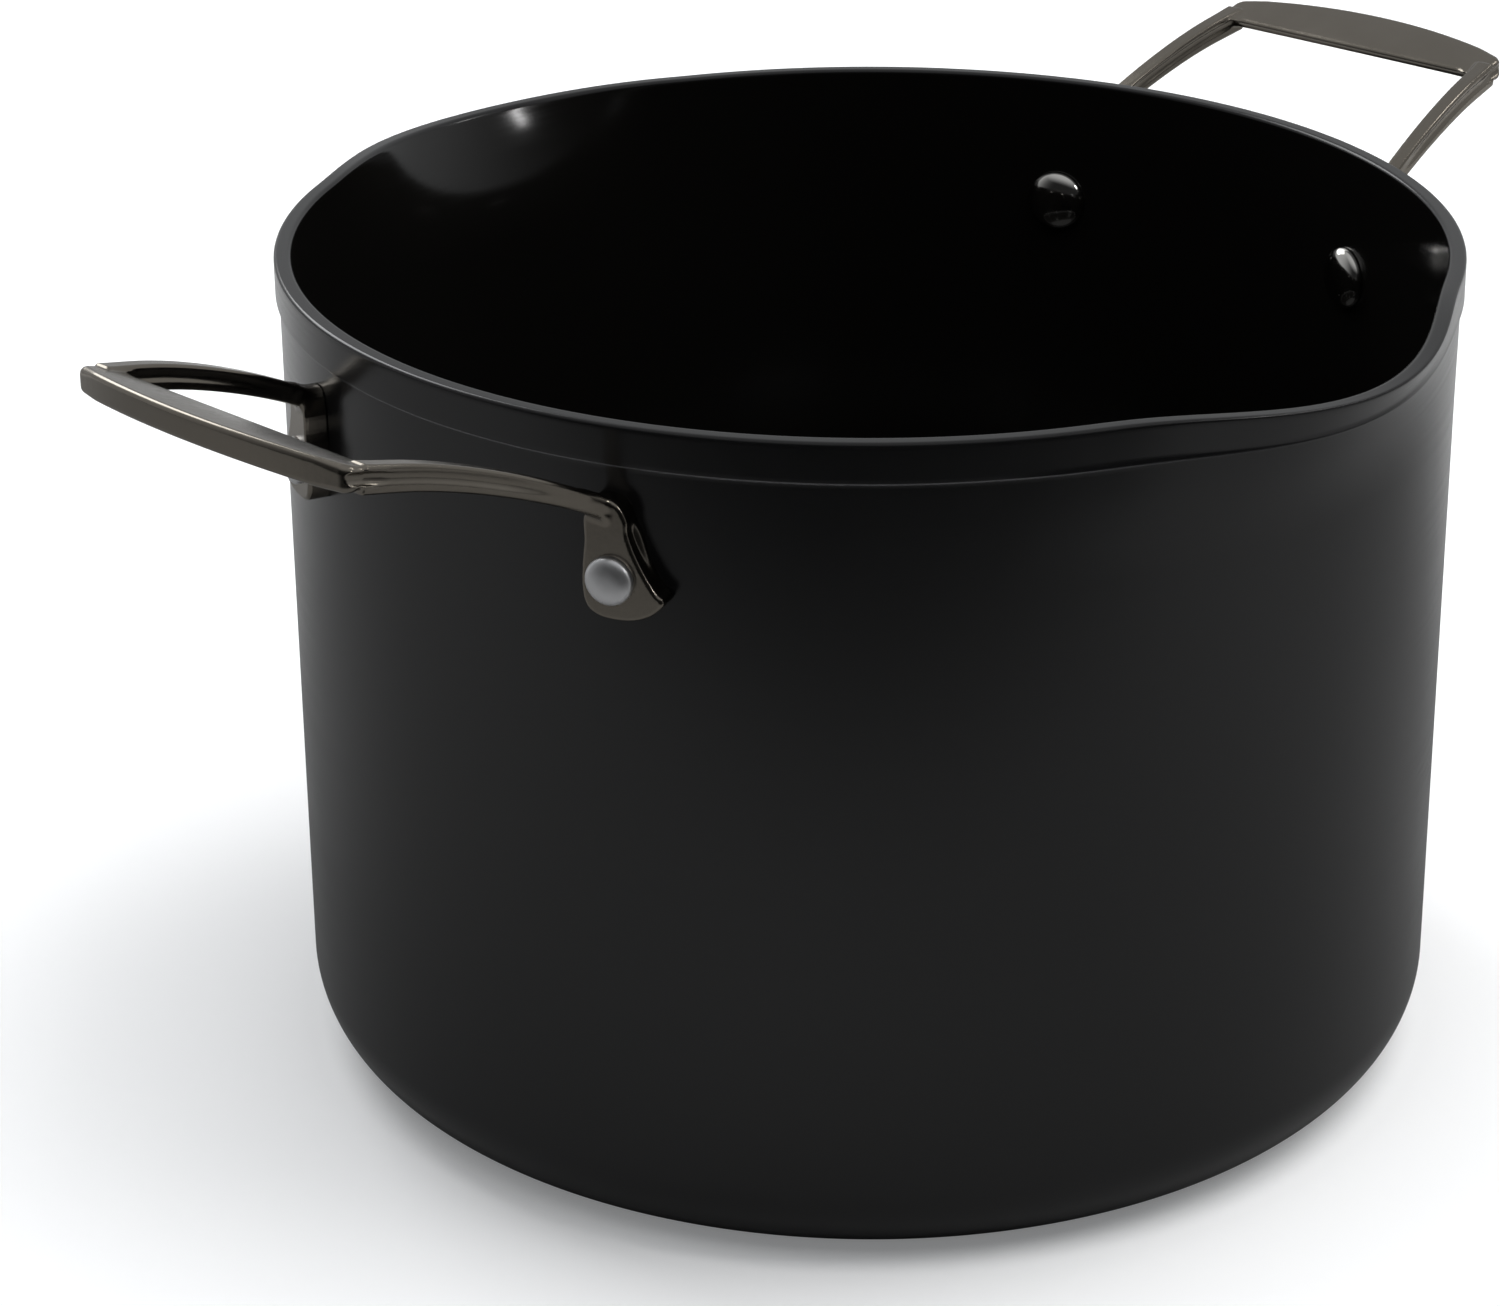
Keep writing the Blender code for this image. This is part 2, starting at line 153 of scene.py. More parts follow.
def make_pot():
    profile = np.array(pot_profile())
    steps = 900
    angle = np.arange(steps) * 2 * np.pi / steps
    r = np.repeat(profile[:, 0][None], steps, 0)
    z = np.repeat(profile[:, 1][None], steps, 0)
    a = np.repeat(angle[:, None], len(profile), 1)
    # Angle from the nearer spout's middle
    away = np.abs(np.arctan2(np.abs(np.cos(a)), np.abs(np.sin(a))))
    depth = np.clip((H - z) / SPOUT_DEPTH, 0, None)
    wall = smooth(r, INNER_R - 3, INNER_R - 0.5)
    fade = np.clip(1 - depth, 0, 1) ** 2
    swell = SPOUT_BULGE * window(away / SPOUT_HALF) * fade * wall
    dip = SPOUT_DIP * window(away / DIP_HALF) * fade * wall
    # The step under the band is stretched flat where the spout is pressed out.
    in_spout = window(away / math.radians(36.0)) ** 0.5
    outer = (np.arange(len(profile)) > np.argmax(profile[:, 0] >= RIM_R - 1e-6))[None]
    below = smooth(H - z, BAND_H - 1, BAND_H + 0.2) * (
        1 - smooth(H - z, BAND_H + 4, SPOUT_DEPTH)
    )
    swell = swell + np.where(outer, 0.92 * STEP * in_spout * below, 0) * wall
    r = r + swell
    z = z - dip
    verts = np.stack([r * np.cos(a), r * np.sin(a), z], -1).reshape(-1, 3)
    n = len(profile)
    i, j = np.meshgrid(np.arange(steps), np.arange(n - 1), indexing="ij")
    i2 = (i + 1) % steps
    faces = np.stack([i * n + j, i2 * n + j, i2 * n + j + 1, i * n + j + 1], -1)
    faces = faces.reshape(-1, 4)
    # close the two pin holes at the axis
    floor_ring = tuple(int(k) * n for k in range(steps))
    under_ring = tuple(int(k) * n + n - 1 for k in range(steps))
    quads = [tuple(int(x) for x in f) for f in faces]
    obj = new_object(
        "body_shell", verts, quads + [tuple(reversed(floor_ring)), under_ring]
    )
    bm = bmesh.new()
    bm.from_mesh(obj.data)
    bmesh.ops.recalc_face_normals(bm, faces=bm.faces)
    bm.to_mesh(obj.data)
    bm.free()
    obj.data.shade_smooth()
    # How far round the profile each point is, so that the finishes and a painted highlight line can follow the
    # metal.
    total = len(profile)
    inner_end = int(np.argmax(profile[:, 1] >= H - 0.9 - 1e-6))
    top_end = int(np.argmax(profile[:, 0] >= RIM_R - 1e-6))
    inside = np.zeros(total)
    inside[: inner_end + 2] = 1.0
    rim = np.zeros(total)
    rim[inner_end + 1 : top_end + 1] = 1.0
    # painted highlight: a pale line on the band's lower edge stands in for the light its rounded edge catches; it is
    # faded out at the spouts
    lip_z = H - BAND_H
    edge = np.where(
        (profile[:, 0] > WALL_R - 0.1) & (np.abs(profile[:, 1] - lip_z - 0.12) < 0.3), 1.0, 0.0
    )
    edge = edge[None] * (1 - in_spout)
    for key, values in (
        ("lining", np.tile(inside, steps)),
        ("rim", np.tile(rim, steps)),
        ("edge", edge.ravel()),
    ):
        layer = obj.data.attributes.new(key, "FLOAT", "POINT")
        layer.data.foreach_set("value", values.astype(np.float32))
    return obj


# ---------------------------------------------------------------------------
# Handle: one casting, drawn as a signed distance field and meshed finely
# ---------------------------------------------------------------------------
def polygon_distance(points, outline):
    """Signed distance from 2D points to a closed outline, negative inside."""
    px, py = points[:, 0], points[:, 1]
    best = np.full(len(points), 1e9)
    inside = np.zeros(len(points), bool)
    for (ax, ay), (bx, by) in zip(outline, np.roll(outline, -1, 0)):
        ex, ey = bx - ax, by - ay
        wx, wy = px - ax, py - ay
        t = np.clip((wx * ex + wy * ey) / (ex * ex + ey * ey + 1e-12), 0, 1)
        best = np.minimum(best, (wx - ex * t) ** 2 + (wy - ey * t) ** 2)
        crosses = ((ay > py) != (by > py)) & (
            px < (bx - ax) * (py - ay) / (by - ay + 1e-12 * (by == ay)) + ax
        )
        inside ^= crosses
    return np.where(inside, -1, 1) * np.sqrt(best)


def fillet(parts, radius):
    """Intersection of fields, its outer edges rounded to this radius."""
    stack = np.stack(parts) + radius
    return (
        np.minimum(stack.max(0), 0)
        + np.sqrt((np.maximum(stack, 0) ** 2).sum(0))
        - radius
    )


def blend_union(a, b, k):
    h = np.clip(0.5 + 0.5 * (b - a) / k, 0, 1)
    return b + (a - b) * h - k * h * (1 - h)


def blend_cut(a, b, k):
    return -blend_union(-a, b, k)


def spline_loop(points, per=6):
    """A closed Catmull-Rom curve through the points."""
    p = np.array(points, float)
    out = []
    for i in range(len(p)):
        p0, p1, p2, p3 = (p[(i + k) % len(p)] for k in (-1, 0, 1, 2))
        for s in range(per):
            t = s / per
            out.append(
                0.5
                * (
                    2 * p1
                    + (p2 - p0) * t
                    + (2 * p0 - 5 * p1 + 4 * p2 - p3) * t * t
                    + (3 * p1 - p0 - 3 * p2 + p3) * t**3
                )
            )
    return np.array(out)


def spline_path(points, per=8):
    """An open Catmull-Rom curve through the points."""
    p = np.array(points, float)
    p = np.vstack([2 * p[0] - p[1], p, 2 * p[-1] - p[-2]])
    out = []
    for p0, p1, p2, p3 in zip(p, p[1:], p[2:], p[3:]):
        for t in np.arange(per) / per:
            out.append(
                0.5
                * (
                    2 * p1
                    + (p2 - p0) * t
                    + (2 * p0 - 5 * p1 + 4 * p2 - p3) * t * t
                    + (3 * p1 - p0 - 3 * p2 + p3) * t**3
                )
            )
    return np.vstack([out, p[-2]])


GRIP_IN = 167.3
GRIP_CORNER = 175.0
GRIP_BOW = 180.4
GRIP_TILT = math.radians(20.5)
GRIP_IN_TOP = H + 5.2
CORNER_V = 38.4
LEG_FOOT = np.array((116.0, H - 17.2))
LEG_LAND = np.array((119.5, H - 14.2))
LEG_TOE = np.array((163.6, H + 2.5))
LEG_SLOPE = math.radians(12.5)
LEG_RUN = 20.5
LEG_FOOT_V = 42.3
LEG_CORNER_V = 36.6


def grip_outline():
    half = []
    tip_v = CORNER_V - 2.3
    for y in np.linspace(0, tip_v, 16):
        half.append(
            (GRIP_CORNER + (GRIP_BOW - GRIP_CORNER) * (1 - (y / CORNER_V) ** 2), y)
        )
    # rounded tip, turning from the bowed edge to the leg's outer side
    start, end = math.radians(105), math.radians(173)
    radius = (CORNER_V - tip_v) / (math.cos(start) - math.cos(math.pi))
    x0, y0 = half[-1]
    for a in np.linspace(start, end, 14)[1:]:
        half.append(
            (
                x0 + radius * (math.sin(a) - math.sin(start)),
                y0 + radius * (math.cos(start) - math.cos(a)),
            )
        )
    half += [(167.0, 38.7), (163.8, 38.4), (162.4, 37.0), (162.6, 34.6)]
    k = 3.4
    for t in np.radians(np.linspace(8, 90, 9)):
        half.append((GRIP_IN - k * (1 - math.sin(t)), 33.9 - k * (1 - math.cos(t))))
    half = np.array(half)
    lower = half[half[:, 1] > 0.1][::-1] * np.array((1, -1))
    return np.vstack([half, lower])


def leg_curve():
    t = np.linspace(0, 1, 120)[:, None]
    along = np.array((math.cos(LEG_SLOPE), math.sin(LEG_SLOPE)))
    p2 = LEG_TOE - along * LEG_RUN
    curve = (
        (1 - t) ** 3 * LEG_FOOT
        + 3 * (1 - t) ** 2 * t * LEG_LAND
        + 3 * (1 - t) * t * t * p2
        + t**3 * LEG_TOE
    )
    landing = (LEG_LAND - LEG_FOOT) / np.linalg.norm(LEG_LAND - LEG_FOOT)
    head = LEG_FOOT - landing * np.linspace(6.0, 0.2, 24)[:, None]
    tail = LEG_TOE + along * np.linspace(0.2, 7.6, 30)[:, None]
    curve = np.vstack([head, curve, tail])
    s = np.r_[0, np.cumsum(np.hypot(*np.diff(curve, axis=0).T))]
    return s, curve


# The rail along the pad's outer side, where the leg's top edge turns down the
# wall: lift off the wall, distance from the handle's middle plane, height from
# the rim.
RAIL = [
    (6.5, 41.3, -12.6),
    (4.6, 43.0, -13.8),
    (2.6, 44.5, -15.7),
    (1.5, 45.5, -17.9),
    (1.0, 46.6, -20.4),
    (0.9, 47.6, -23.7),
    (0.8, 48.7, -27.6),
    (0.6, 49.9, -32.4),
]


PAD_RISE = 0.6
PAD_OUTLINE = [
    (-3.6, 14.8),
    (-5.4, 11.0),
    (-5.4, 6.5),
    (-5.9, 1.5),
    (-6.0, -3.3),
    (-5.2, -6.6),
    (-3.0, -8.3),
    (0.4, -8.8),
    (4.4, -8.4),
    (7.8, -7.0),
    (10.3, -4.7),
    (10.3, -3.2),
    (8.9, -2.0),
    (6.6, 1.5),
    (4.7, 5.2),
    (3.5, 8.6),
    (3.2, 11.6),
    (1.0, 14.6),
]


class Handle:
    def __init__(self):
        self.grip = grip_outline()
        self.pad = spline_loop(PAD_OUTLINE, 5)
        self.s, self.curve = leg_curve()
        self.tangent = np.gradient(self.curve, self.s, axis=0)
        self.tangent /= np.linalg.norm(self.tangent, axis=1)[:, None]
        lift, across, height = spline_path(RAIL, 5).T
        self.rail = np.stack(
            [np.sqrt((WALL_R + lift) ** 2 - across**2), across, height + H], 1
        )

    def at(self, s, column, table):
        return np.interp(s, self.s, table[:, column])

    def rail_distance(self, p):
        """Distance to the pad's rail, which tapers downwards."""
        best = np.full(len(p), 1e9)
        near = np.flatnonzero(p[:, 0] < 128)
        q = np.stack([p[near, 0], np.abs(p[near, 1]), p[near, 2]], 1)
        got = best[near]
        count = len(self.rail) - 1
        for k in range(count):
            a, b = self.rail[k], self.rail[k + 1]
            e = b - a
            t = np.clip(((q - a) @ e) / (e @ e), 0, 1)
            size = 1.15 - 0.3 * (k + t) / count
            d = np.linalg.norm(q - a - t[:, None] * e, axis=1) - size
            got = np.minimum(got, d)
        best[near] = got
        return best

    def field(self, p):
        u, v, z = p[:, 0], np.abs(p[:, 1]), p[:, 2]
        # grip
        flat = polygon_distance(np.stack([u, v], 1), self.grip)
        top_z = GRIP_IN_TOP + math.tan(GRIP_TILT) * (u - GRIP_IN)
        crown = 0.25 * ((u - 171.5) / 6.5) ** 2
        top = (z - top_z + np.clip(crown, 0, 0.6)) * math.cos(GRIP_TILT)
        edge = GRIP_CORNER + (GRIP_BOW - GRIP_CORNER) * (
            1 - np.clip(v / CORNER_V, 0, 1) ** 2
        )
        low_in = GRIP_IN_TOP - 1.9
        low_out = GRIP_IN_TOP + math.tan(GRIP_TILT) * (edge - GRIP_IN) - 6.4
        share = np.clip((u - GRIP_IN) / (edge - GRIP_IN), -0.4, 1)
        under = low_in + (low_out - low_in) * share - z
        # the cast edges are soft, most of all round the two tips
        thick = (top_z - low_in) - (low_out - low_in) * share
        soft = np.clip(0.4 * thick, 0.5, 1.35 + 0.6 * smooth(v, 30, 37))
        grip = fillet([flat, top, under], soft)
        # leg
        s = np.interp(u, self.curve[:, 0], self.s)
        for _ in range(4):
            du = u - self.at(s, 0, self.curve)
            dz = z - self.at(s, 1, self.curve)
            s = np.clip(
                s + du * self.at(s, 0, self.tangent) + dz * self.at(s, 1, self.tangent),
                self.s[0],
                self.s[-1],
            )
        du = u - self.at(s, 0, self.curve)
        dz = z - self.at(s, 1, self.curve)
        tu, tz = self.at(s, 0, self.tangent), self.at(s, 1, self.tangent)
        up = -du * tz + dz * tu
        past = np.abs(du * tu + dz * tz)
        cu = self.at(s, 0, self.curve)
        frac = np.clip((cu - LEG_FOOT[0]) / (GRIP_IN - LEG_FOOT[0]), 0, 1.15)
        centre = LEG_FOOT_V + (LEG_CORNER_V - LEG_FOOT_V) * frac
        side = (v - centre) * 0.992
        hw = 1.95 + 0.25 * frac
        hh = 2.05 + 0.85 * frac
        rr = 0.95
        qx, qz = np.abs(side) - (hw - rr), np.abs(up) - (hh - rr)
        leg = (
            np.sqrt(np.maximum(qx, 0) ** 2 + np.maximum(qz, 0) ** 2)
            + np.minimum(np.maximum(qx, qz), 0)
            - rr
        )
        leg = fillet([leg, past - 0.2], 0.6)
        casting = blend_union(leg, grip, 1.0)
        # A hollow flute along both faces of the leg, dying out towards the pad;
        # the outer one ends in the corner, the inner one at the window's corner.
        stop = np.where(side > 0, 171.6, 166.4)
        deep = 0.62 * smooth(frac, 0.2, 0.5)
        deep = deep + np.where(side > 0, 0.45 * smooth(cu, 165.5, 171.5), 0)
        wide, tall = 1.0, 1.3
        gx = (np.abs(side) - (hw + wide - deep + 0.4 * (1 - smooth(frac, 0.12, 0.3)))) / wide
        gx = np.minimum(gx, 0)
        gz = (up - 0.35) / tall
        gs = np.maximum(cu - stop, 0) / 1.5
        groove = (np.sqrt(gx**2 + gz**2 + gs**2) - 1) * 0.95
        casting = blend_cut(casting, groove, 0.22)
        # pad
        ca, sa = math.cos(RIVET_ANGLE), math.sin(RIVET_ANGLE)
        out = u * ca + v * sa
        across = -u * sa + v * ca
        pad2 = polygon_distance(
            np.stack([across, z - RIVET_Z - PAD_RISE], 1), self.pad
        )
        pad = fillet([pad2, out - PAD_FACE], 0.75)
        pad = blend_union(pad, self.rail_distance(p), 0.7)
        casting = blend_union(casting, pad, 1.3)
        return np.maximum(casting, (WALL_R + 0.03) - np.hypot(u, v))


def surface_nets(handle, pitch=0.3):
    """The handle's +v half as quads, the points pulled onto the surface; the caller adds the other half by
    reflection and exact normals.
    """
    lo = np.array((111.0, -2.4, 135.5))
    hi = np.array((182.5, 58.0, 188.5))
    coarse = 2.4
    cells = np.ceil((hi - lo) / coarse).astype(int)
    axes = [lo[k] + coarse * (np.arange(cells[k]) + 0.5) for k in range(3)]
    grid = np.stack(np.meshgrid(*axes, indexing="ij"), -1).reshape(-1, 3)
    rough = handle.field(grid).reshape(cells)
    ratio = int(round(coarse / pitch))
    near = np.abs(rough) < coarse * 1.25
    values = np.repeat(np.repeat(np.repeat(rough, ratio, 0), ratio, 1), ratio, 2)
    values = np.sign(values).astype(np.float32) * 9
    mask = np.repeat(np.repeat(np.repeat(near, ratio, 0), ratio, 1), ratio, 2)
    index = np.argwhere(mask)
    pts = lo + pitch * (index + 0.5)
    got = np.empty(len(pts), np.float32)
    for k in range(0, len(pts), 400000):
        got[k : k + 400000] = handle.field(pts[k : k + 400000])
    values[mask] = got
    neg = values < 0
    c = neg[:-1, :-1, :-1].astype(np.int8)
    total = np.zeros_like(c)
    for dx in (0, 1):
        for dy in (0, 1):
            for dz in (0, 1):
                total += neg[
                    dx : dx + c.shape[0], dy : dy + c.shape[1], dz : dz + c.shape[2]
                ]
    active = (total > 0) & (total < 8)
    ids = np.full(c.shape, -1, np.int64)
    cell = np.argwhere(active)
    ids[active] = np.arange(len(cell))
    sums = np.zeros((len(cell), 3))
    count = np.zeros(len(cell))
    corners = [(x, y, z) for x in (0, 1) for y in (0, 1) for z in (0, 1)]
    for a in corners:
        for axis in range(3):
            if a[axis]:
                continue
            b = list(a)
            b[axis] = 1
            va = values[cell[:, 0] + a[0], cell[:, 1] + a[1], cell[:, 2] + a[2]]
            vb = values[cell[:, 0] + b[0], cell[:, 1] + b[1], cell[:, 2] + b[2]]
            cross = (va < 0) != (vb < 0)
            t = np.where(cross, va / np.where(cross, va - vb, 1), 0)
            point = np.array(a, float)[None].repeat(len(cell), 0)
            point[:, axis] += t
            sums[cross] += point[cross]
            count[cross] += 1
    verts = lo + pitch * (cell + 0.5 + sums / count[:, None])
    faces = []
    for axis in range(3):
        shape = list(neg.shape)
        first = [slice(None)] * 3
        second = [slice(None)] * 3
        first[axis], second[axis] = slice(0, shape[axis] - 1), slice(1, shape[axis])
        n0, n1 = neg[tuple(first)], neg[tuple(second)]
        for flag in (True, False):
            where = np.argwhere((n0 != n1) & (n0 == flag))
            o1, o2 = [k for k in range(3) if k != axis]
            ok = (where[:, o1] > 0) & (where[:, o2] > 0)
            ok &= (where[:, o1] < neg.shape[o1] - 1) & (where[:, o2] < neg.shape[o2] - 1)
            where = where[ok]
            quad = []
            for d1, d2 in ((-1, -1), (0, -1), (0, 0), (-1, 0)):
                q = where.copy()
                q[:, o1] += d1
                q[:, o2] += d2
                quad.append(ids[q[:, 0], q[:, 1], q[:, 2]])
            quad = np.stack(quad, 1)
            if flag == (axis == 1):
                quad = quad[:, ::-1]
            faces.append(quad)
    faces = np.vstack(faces)
    faces = faces[(faces >= 0).all(1)]

    def gradient(p):
        g = np.empty_like(p)
        e = 0.02
        for k in range(3):
            d = np.zeros(3)
            d[k] = e
            g[:, k] = (handle.field(p + d) - handle.field(p - d)) / (2 * e)
        return g

    for _ in range(3):
        g = gradient(verts)
        d = handle.field(verts)
        length2 = np.maximum((g**2).sum(1), 0.05)
        move = g * (d / length2)[:, None]
        move *= np.minimum(1, 0.25 / np.maximum(np.linalg.norm(move, axis=1), 1e-9))[
            :, None
        ]
        verts = verts - move
    return verts, faces


def make_handle_mesh():
    handle = Handle()
    verts, faces = surface_nets(handle)
    obj = new_object("casting", verts, faces)
    bm = bmesh.new()
    bm.from_mesh(obj.data)
    # cut at the middle plane, reflect and join
    bmesh.ops.bisect_plane(
        bm,
        geom=bm.verts[:] + bm.edges[:] + bm.faces[:],
        dist=1e-7,
        plane_co=(0, 0, 0),
        plane_no=(0, -1, 0),
        clear_outer=True,
    )
    for v in bm.verts:
        if abs(v.co.y) < 2e-6:
            v.co.y = 0.0
    bmesh.ops.mirror(
        bm,
        geom=bm.verts[:] + bm.edges[:] + bm.faces[:],
        axis="Y",
        merge_dist=3e-6,
    )
    bmesh.ops.recalc_face_normals(bm, faces=bm.faces)
    bm.to_mesh(obj.data)
    bm.free()
    mesh = obj.data
    mesh.shade_smooth()
    co = np.empty(len(mesh.vertices) * 3)
    mesh.vertices.foreach_get("co", co)
    p = co.reshape(-1, 3) / MM
    g = np.empty_like(p)
    e = 0.03
    for k in range(3):
        d = np.zeros(3)
        d[k] = e
        g[:, k] = handle.field(p + d) - handle.field(p - d)
    g /= np.maximum(np.linalg.norm(g, axis=1), 1e-9)[:, None]
    bpy.data.objects.remove(obj, do_unlink=True)
    mesh.normals_split_custom_set_from_vertices([tuple(n) for n in g])
    return mesh


# ---------------------------------------------------------------------------
# Rivets
# ---------------------------------------------------------------------------
def lathe(name, profile, steps=128):
    """A closed turned solid about local Z, its profile from top to bottom at +X."""
    profile = np.array(profile)
    angle = np.arange(steps) * 2 * np.pi / steps
    verts = [(0.0, 0.0, profile[0][1])]
    for r, z in profile[1:-1]:
        verts += [(r * math.cos(a), r * math.sin(a), z) for a in angle]
    verts.append((0.0, 0.0, profile[-1][1]))
    faces = []
    rings = len(profile) - 2
    for k in range(steps):
        m = (k + 1) % steps
        faces.append((0, 1 + k, 1 + m))
        for j in range(rings - 1):
            a, b = 1 + j * steps, 1 + (j + 1) * steps
            faces.append((a + k, b + k, b + m, a + m))
        last = 1 + (rings - 1) * steps
        faces.append((last + m, last + k, len(verts) - 1))
    return new_object(name, verts, faces)


def rivet_matrix(angle):
    out = Vector((math.cos(angle), math.sin(angle), 0))
    up = Vector((0, 0, 1))
    matrix = Matrix((up, out.cross(up), out)).transposed().to_4x4()
    matrix.translation = (0, 0, RIVET_Z * MM)
    return matrix


def rivet_profile():
    pad = PAD_FACE - 0.02
    wall = INNER_R - 0.1
    up_r, up_h, head_r, head_h = 4.75, 2.7, 6.85, 3.35
    points = [(0.0, pad + up_h)]
    # upset dome: a low crown on a short drum
    for t in np.radians(np.linspace(86, 4, 16)):
        points.append((up_r * math.cos(t) ** 0.85, pad + 0.95 + (up_h - 0.95) * math.sin(t)))
    points += [(up_r, pad + 0.8), (up_r, pad + 0.1), (up_r - 0.15, pad)]
    points += [(2.5, pad), (2.5, wall), (head_r - 0.2, wall)]
    points += [(head_r, wall - 0.15), (head_r, wall - 0.45)]
    for t in np.radians(np.linspace(6, 86, 22)):
        points.append(
            (head_r * math.cos(t) ** 0.94, wall - 0.5 - (head_h - 0.5) * math.sin(t))
        )
    points.append((0.0, wall - head_h))
    return points


# ---------------------------------------------------------------------------
# Materials
# ---------------------------------------------------------------------------
def node_material(name):
    mat = bpy.data.materials.new(name)
    mat.use_nodes = True
    tree = mat.node_tree
    return mat, tree, tree.nodes["Principled BSDF"]


def add(tree, kind, **values):
    node = tree.nodes.new(kind)
    for key, value in values.items():
        if key in node.inputs:
            node.inputs[key].default_value = value
        else:
            setattr(node, key, value)
    return node


def math_node(tree, operation, a, b=None, clamp=False):
    node = tree.nodes.new("ShaderNodeMath")
    node.operation = operation
    node.use_clamp = clamp
    for slot, value in ((0, a), (1, b)):
        if value is None:
            continue
        if isinstance(value, (int, float)):
            node.inputs[slot].default_value = value
        else:
            tree.links.new(value, node.inputs[slot])
    return node.outputs[0]


def map_range(tree, value, a, b, c, d, smooth_step=True):
    node = tree.nodes.new("ShaderNodeMapRange")
    node.interpolation_type = "SMOOTHSTEP" if smooth_step else "LINEAR"
    tree.links.new(value, node.inputs["Value"])
    for key, val in (("From Min", a), ("From Max", b), ("To Min", c), ("To Max", d)):
        node.inputs[key].default_value = val
    return node.outputs["Result"]


def mix_color(tree, factor, a, b):
    node = tree.nodes.new("ShaderNodeMix")
    node.data_type = "RGBA"
    if isinstance(factor, (int, float)):
        node.inputs["Factor"].default_value = factor
    else:
        tree.links.new(factor, node.inputs["Factor"])
    for key, value in (("A", a), ("B", b)):
        socket = [s for s in node.inputs if s.name == key and s.type == "RGBA"][0]
        if isinstance(value, tuple):
            socket.default_value = (*value, 1)
        else:
            tree.links.new(value, socket)
    return [s for s in node.outputs if s.type == "RGBA"][0]


def object_coords(tree, scale=1.0):
    coords = tree.nodes.new("ShaderNodeTexCoord")
    mapping = tree.nodes.new("ShaderNodeMapping")
    mapping.inputs["Scale"].default_value = (scale,) * 3
    tree.links.new(coords.outputs["Object"], mapping.inputs["Vector"])
    return mapping.outputs["Vector"]


def noise(tree, vector, scale, detail=3.0, rough=0.5):
    node = add(tree, "ShaderNodeTexNoise", Scale=scale, Detail=detail, Roughness=rough)
    tree.links.new(vector, node.inputs["Vector"])
    return node.outputs["Fac"]


def turned_coords(tree):
    """(x, y, z, radius) in metres: noise stretched in z and radius follows the turning."""
    coords = tree.nodes.new("ShaderNodeTexCoord")
    split = tree.nodes.new("ShaderNodeSeparateXYZ")
    tree.links.new(coords.outputs["Object"], split.inputs[0])
    x, y, z = split.outputs
    radius = math_node(
        tree,
        "SQRT",
        math_node(tree, "ADD", math_node(tree, "MULTIPLY", x, x), math_node(tree, "MULTIPLY", y, y)),
    )
    return x, y, z, radius


def anodised_material():
    """Hard-anodised shell: dark, very fine grain, with a smoother, blacker lining."""
    mat, tree, bsdf = node_material("hard_anodised")
    links = tree.links
    pos = object_coords(tree)
    lining = add(tree, "ShaderNodeAttribute", attribute_name="lining").outputs["Fac"]
    rim = add(tree, "ShaderNodeAttribute", attribute_name="rim").outputs["Fac"]
    cloud = noise(tree, pos, 22.0, 4.0, 0.55)
    grain = noise(tree, pos, 1900.0, 2.0, 0.6)
    x, y, z, radius = turned_coords(tree)
    # Faint turning lines: noise in z and radius, nearly constant round the pot.
    comb = tree.nodes.new("ShaderNodeCombineXYZ")
    links.new(math_node(tree, "MULTIPLY", x, 3.0), comb.inputs[0])
    links.new(math_node(tree, "MULTIPLY", y, 3.0), comb.inputs[1])
    links.new(
        math_node(tree, "ADD", math_node(tree, "MULTIPLY", z, 900.0), math_node(tree, "MULTIPLY", radius, 700.0)),
        comb.inputs[2],
    )
    lines = noise(tree, comb.outputs[0], 1.0, 3.0, 0.6)
    outer = mix_color(tree, cloud, (0.0022, 0.0022, 0.0024), (0.0034, 0.0034, 0.0036))
    inner = mix_color(tree, cloud, (0.0034, 0.0032, 0.0029), (0.0044, 0.0041, 0.0037))
    base = mix_color(tree, lining, outer, inner)
    # the rim's top face is mixed towards a slightly paler grey
    rim_tone_and_painted_line = mix_color(tree, math_node(tree, "MULTIPLY", rim, 0.6), base, (0.005, 0.005, 0.0052))
    # painted highlight: a pale line along the band's lower edge, in place of the light caught there
    edge = add(tree, "ShaderNodeAttribute", attribute_name="edge").outputs["Fac"]
    rim_tone_and_painted_line = mix_color(tree, edge, rim_tone_and_painted_line, (0.042, 0.042, 0.044))
    links.new(rim_tone_and_painted_line, bsdf.inputs["Base Color"])
    rough = math_node(
        tree,
        "ADD",
        map_range(tree, cloud, 0.3, 0.7, 0.215, 0.24),
        map_range(tree, lines, 0.35, 0.65, -0.012, 0.012),
    )
    rough = math_node(tree, "SUBTRACT", rough, math_node(tree, "MULTIPLY", lining, 0.07))
    links.new(rough, bsdf.inputs["Roughness"])
    bsdf.inputs["IOR"].default_value = 1.5
    links.new(map_range(tree, rim, 0.0, 1.0, 0.5, 0.36), bsdf.inputs["Specular IOR Level"])
    height = math_node(
        tree,
        "ADD",
        math_node(tree, "MULTIPLY", grain, 0.6),
        math_node(tree, "MULTIPLY", lines, 0.4),
    )
    bump = add(tree, "ShaderNodeBump", Strength=0.10, Distance=0.00006)
    links.new(height, bump.inputs["Height"])
    links.new(bump.outputs[0], bsdf.inputs["Normal"])
    return mat


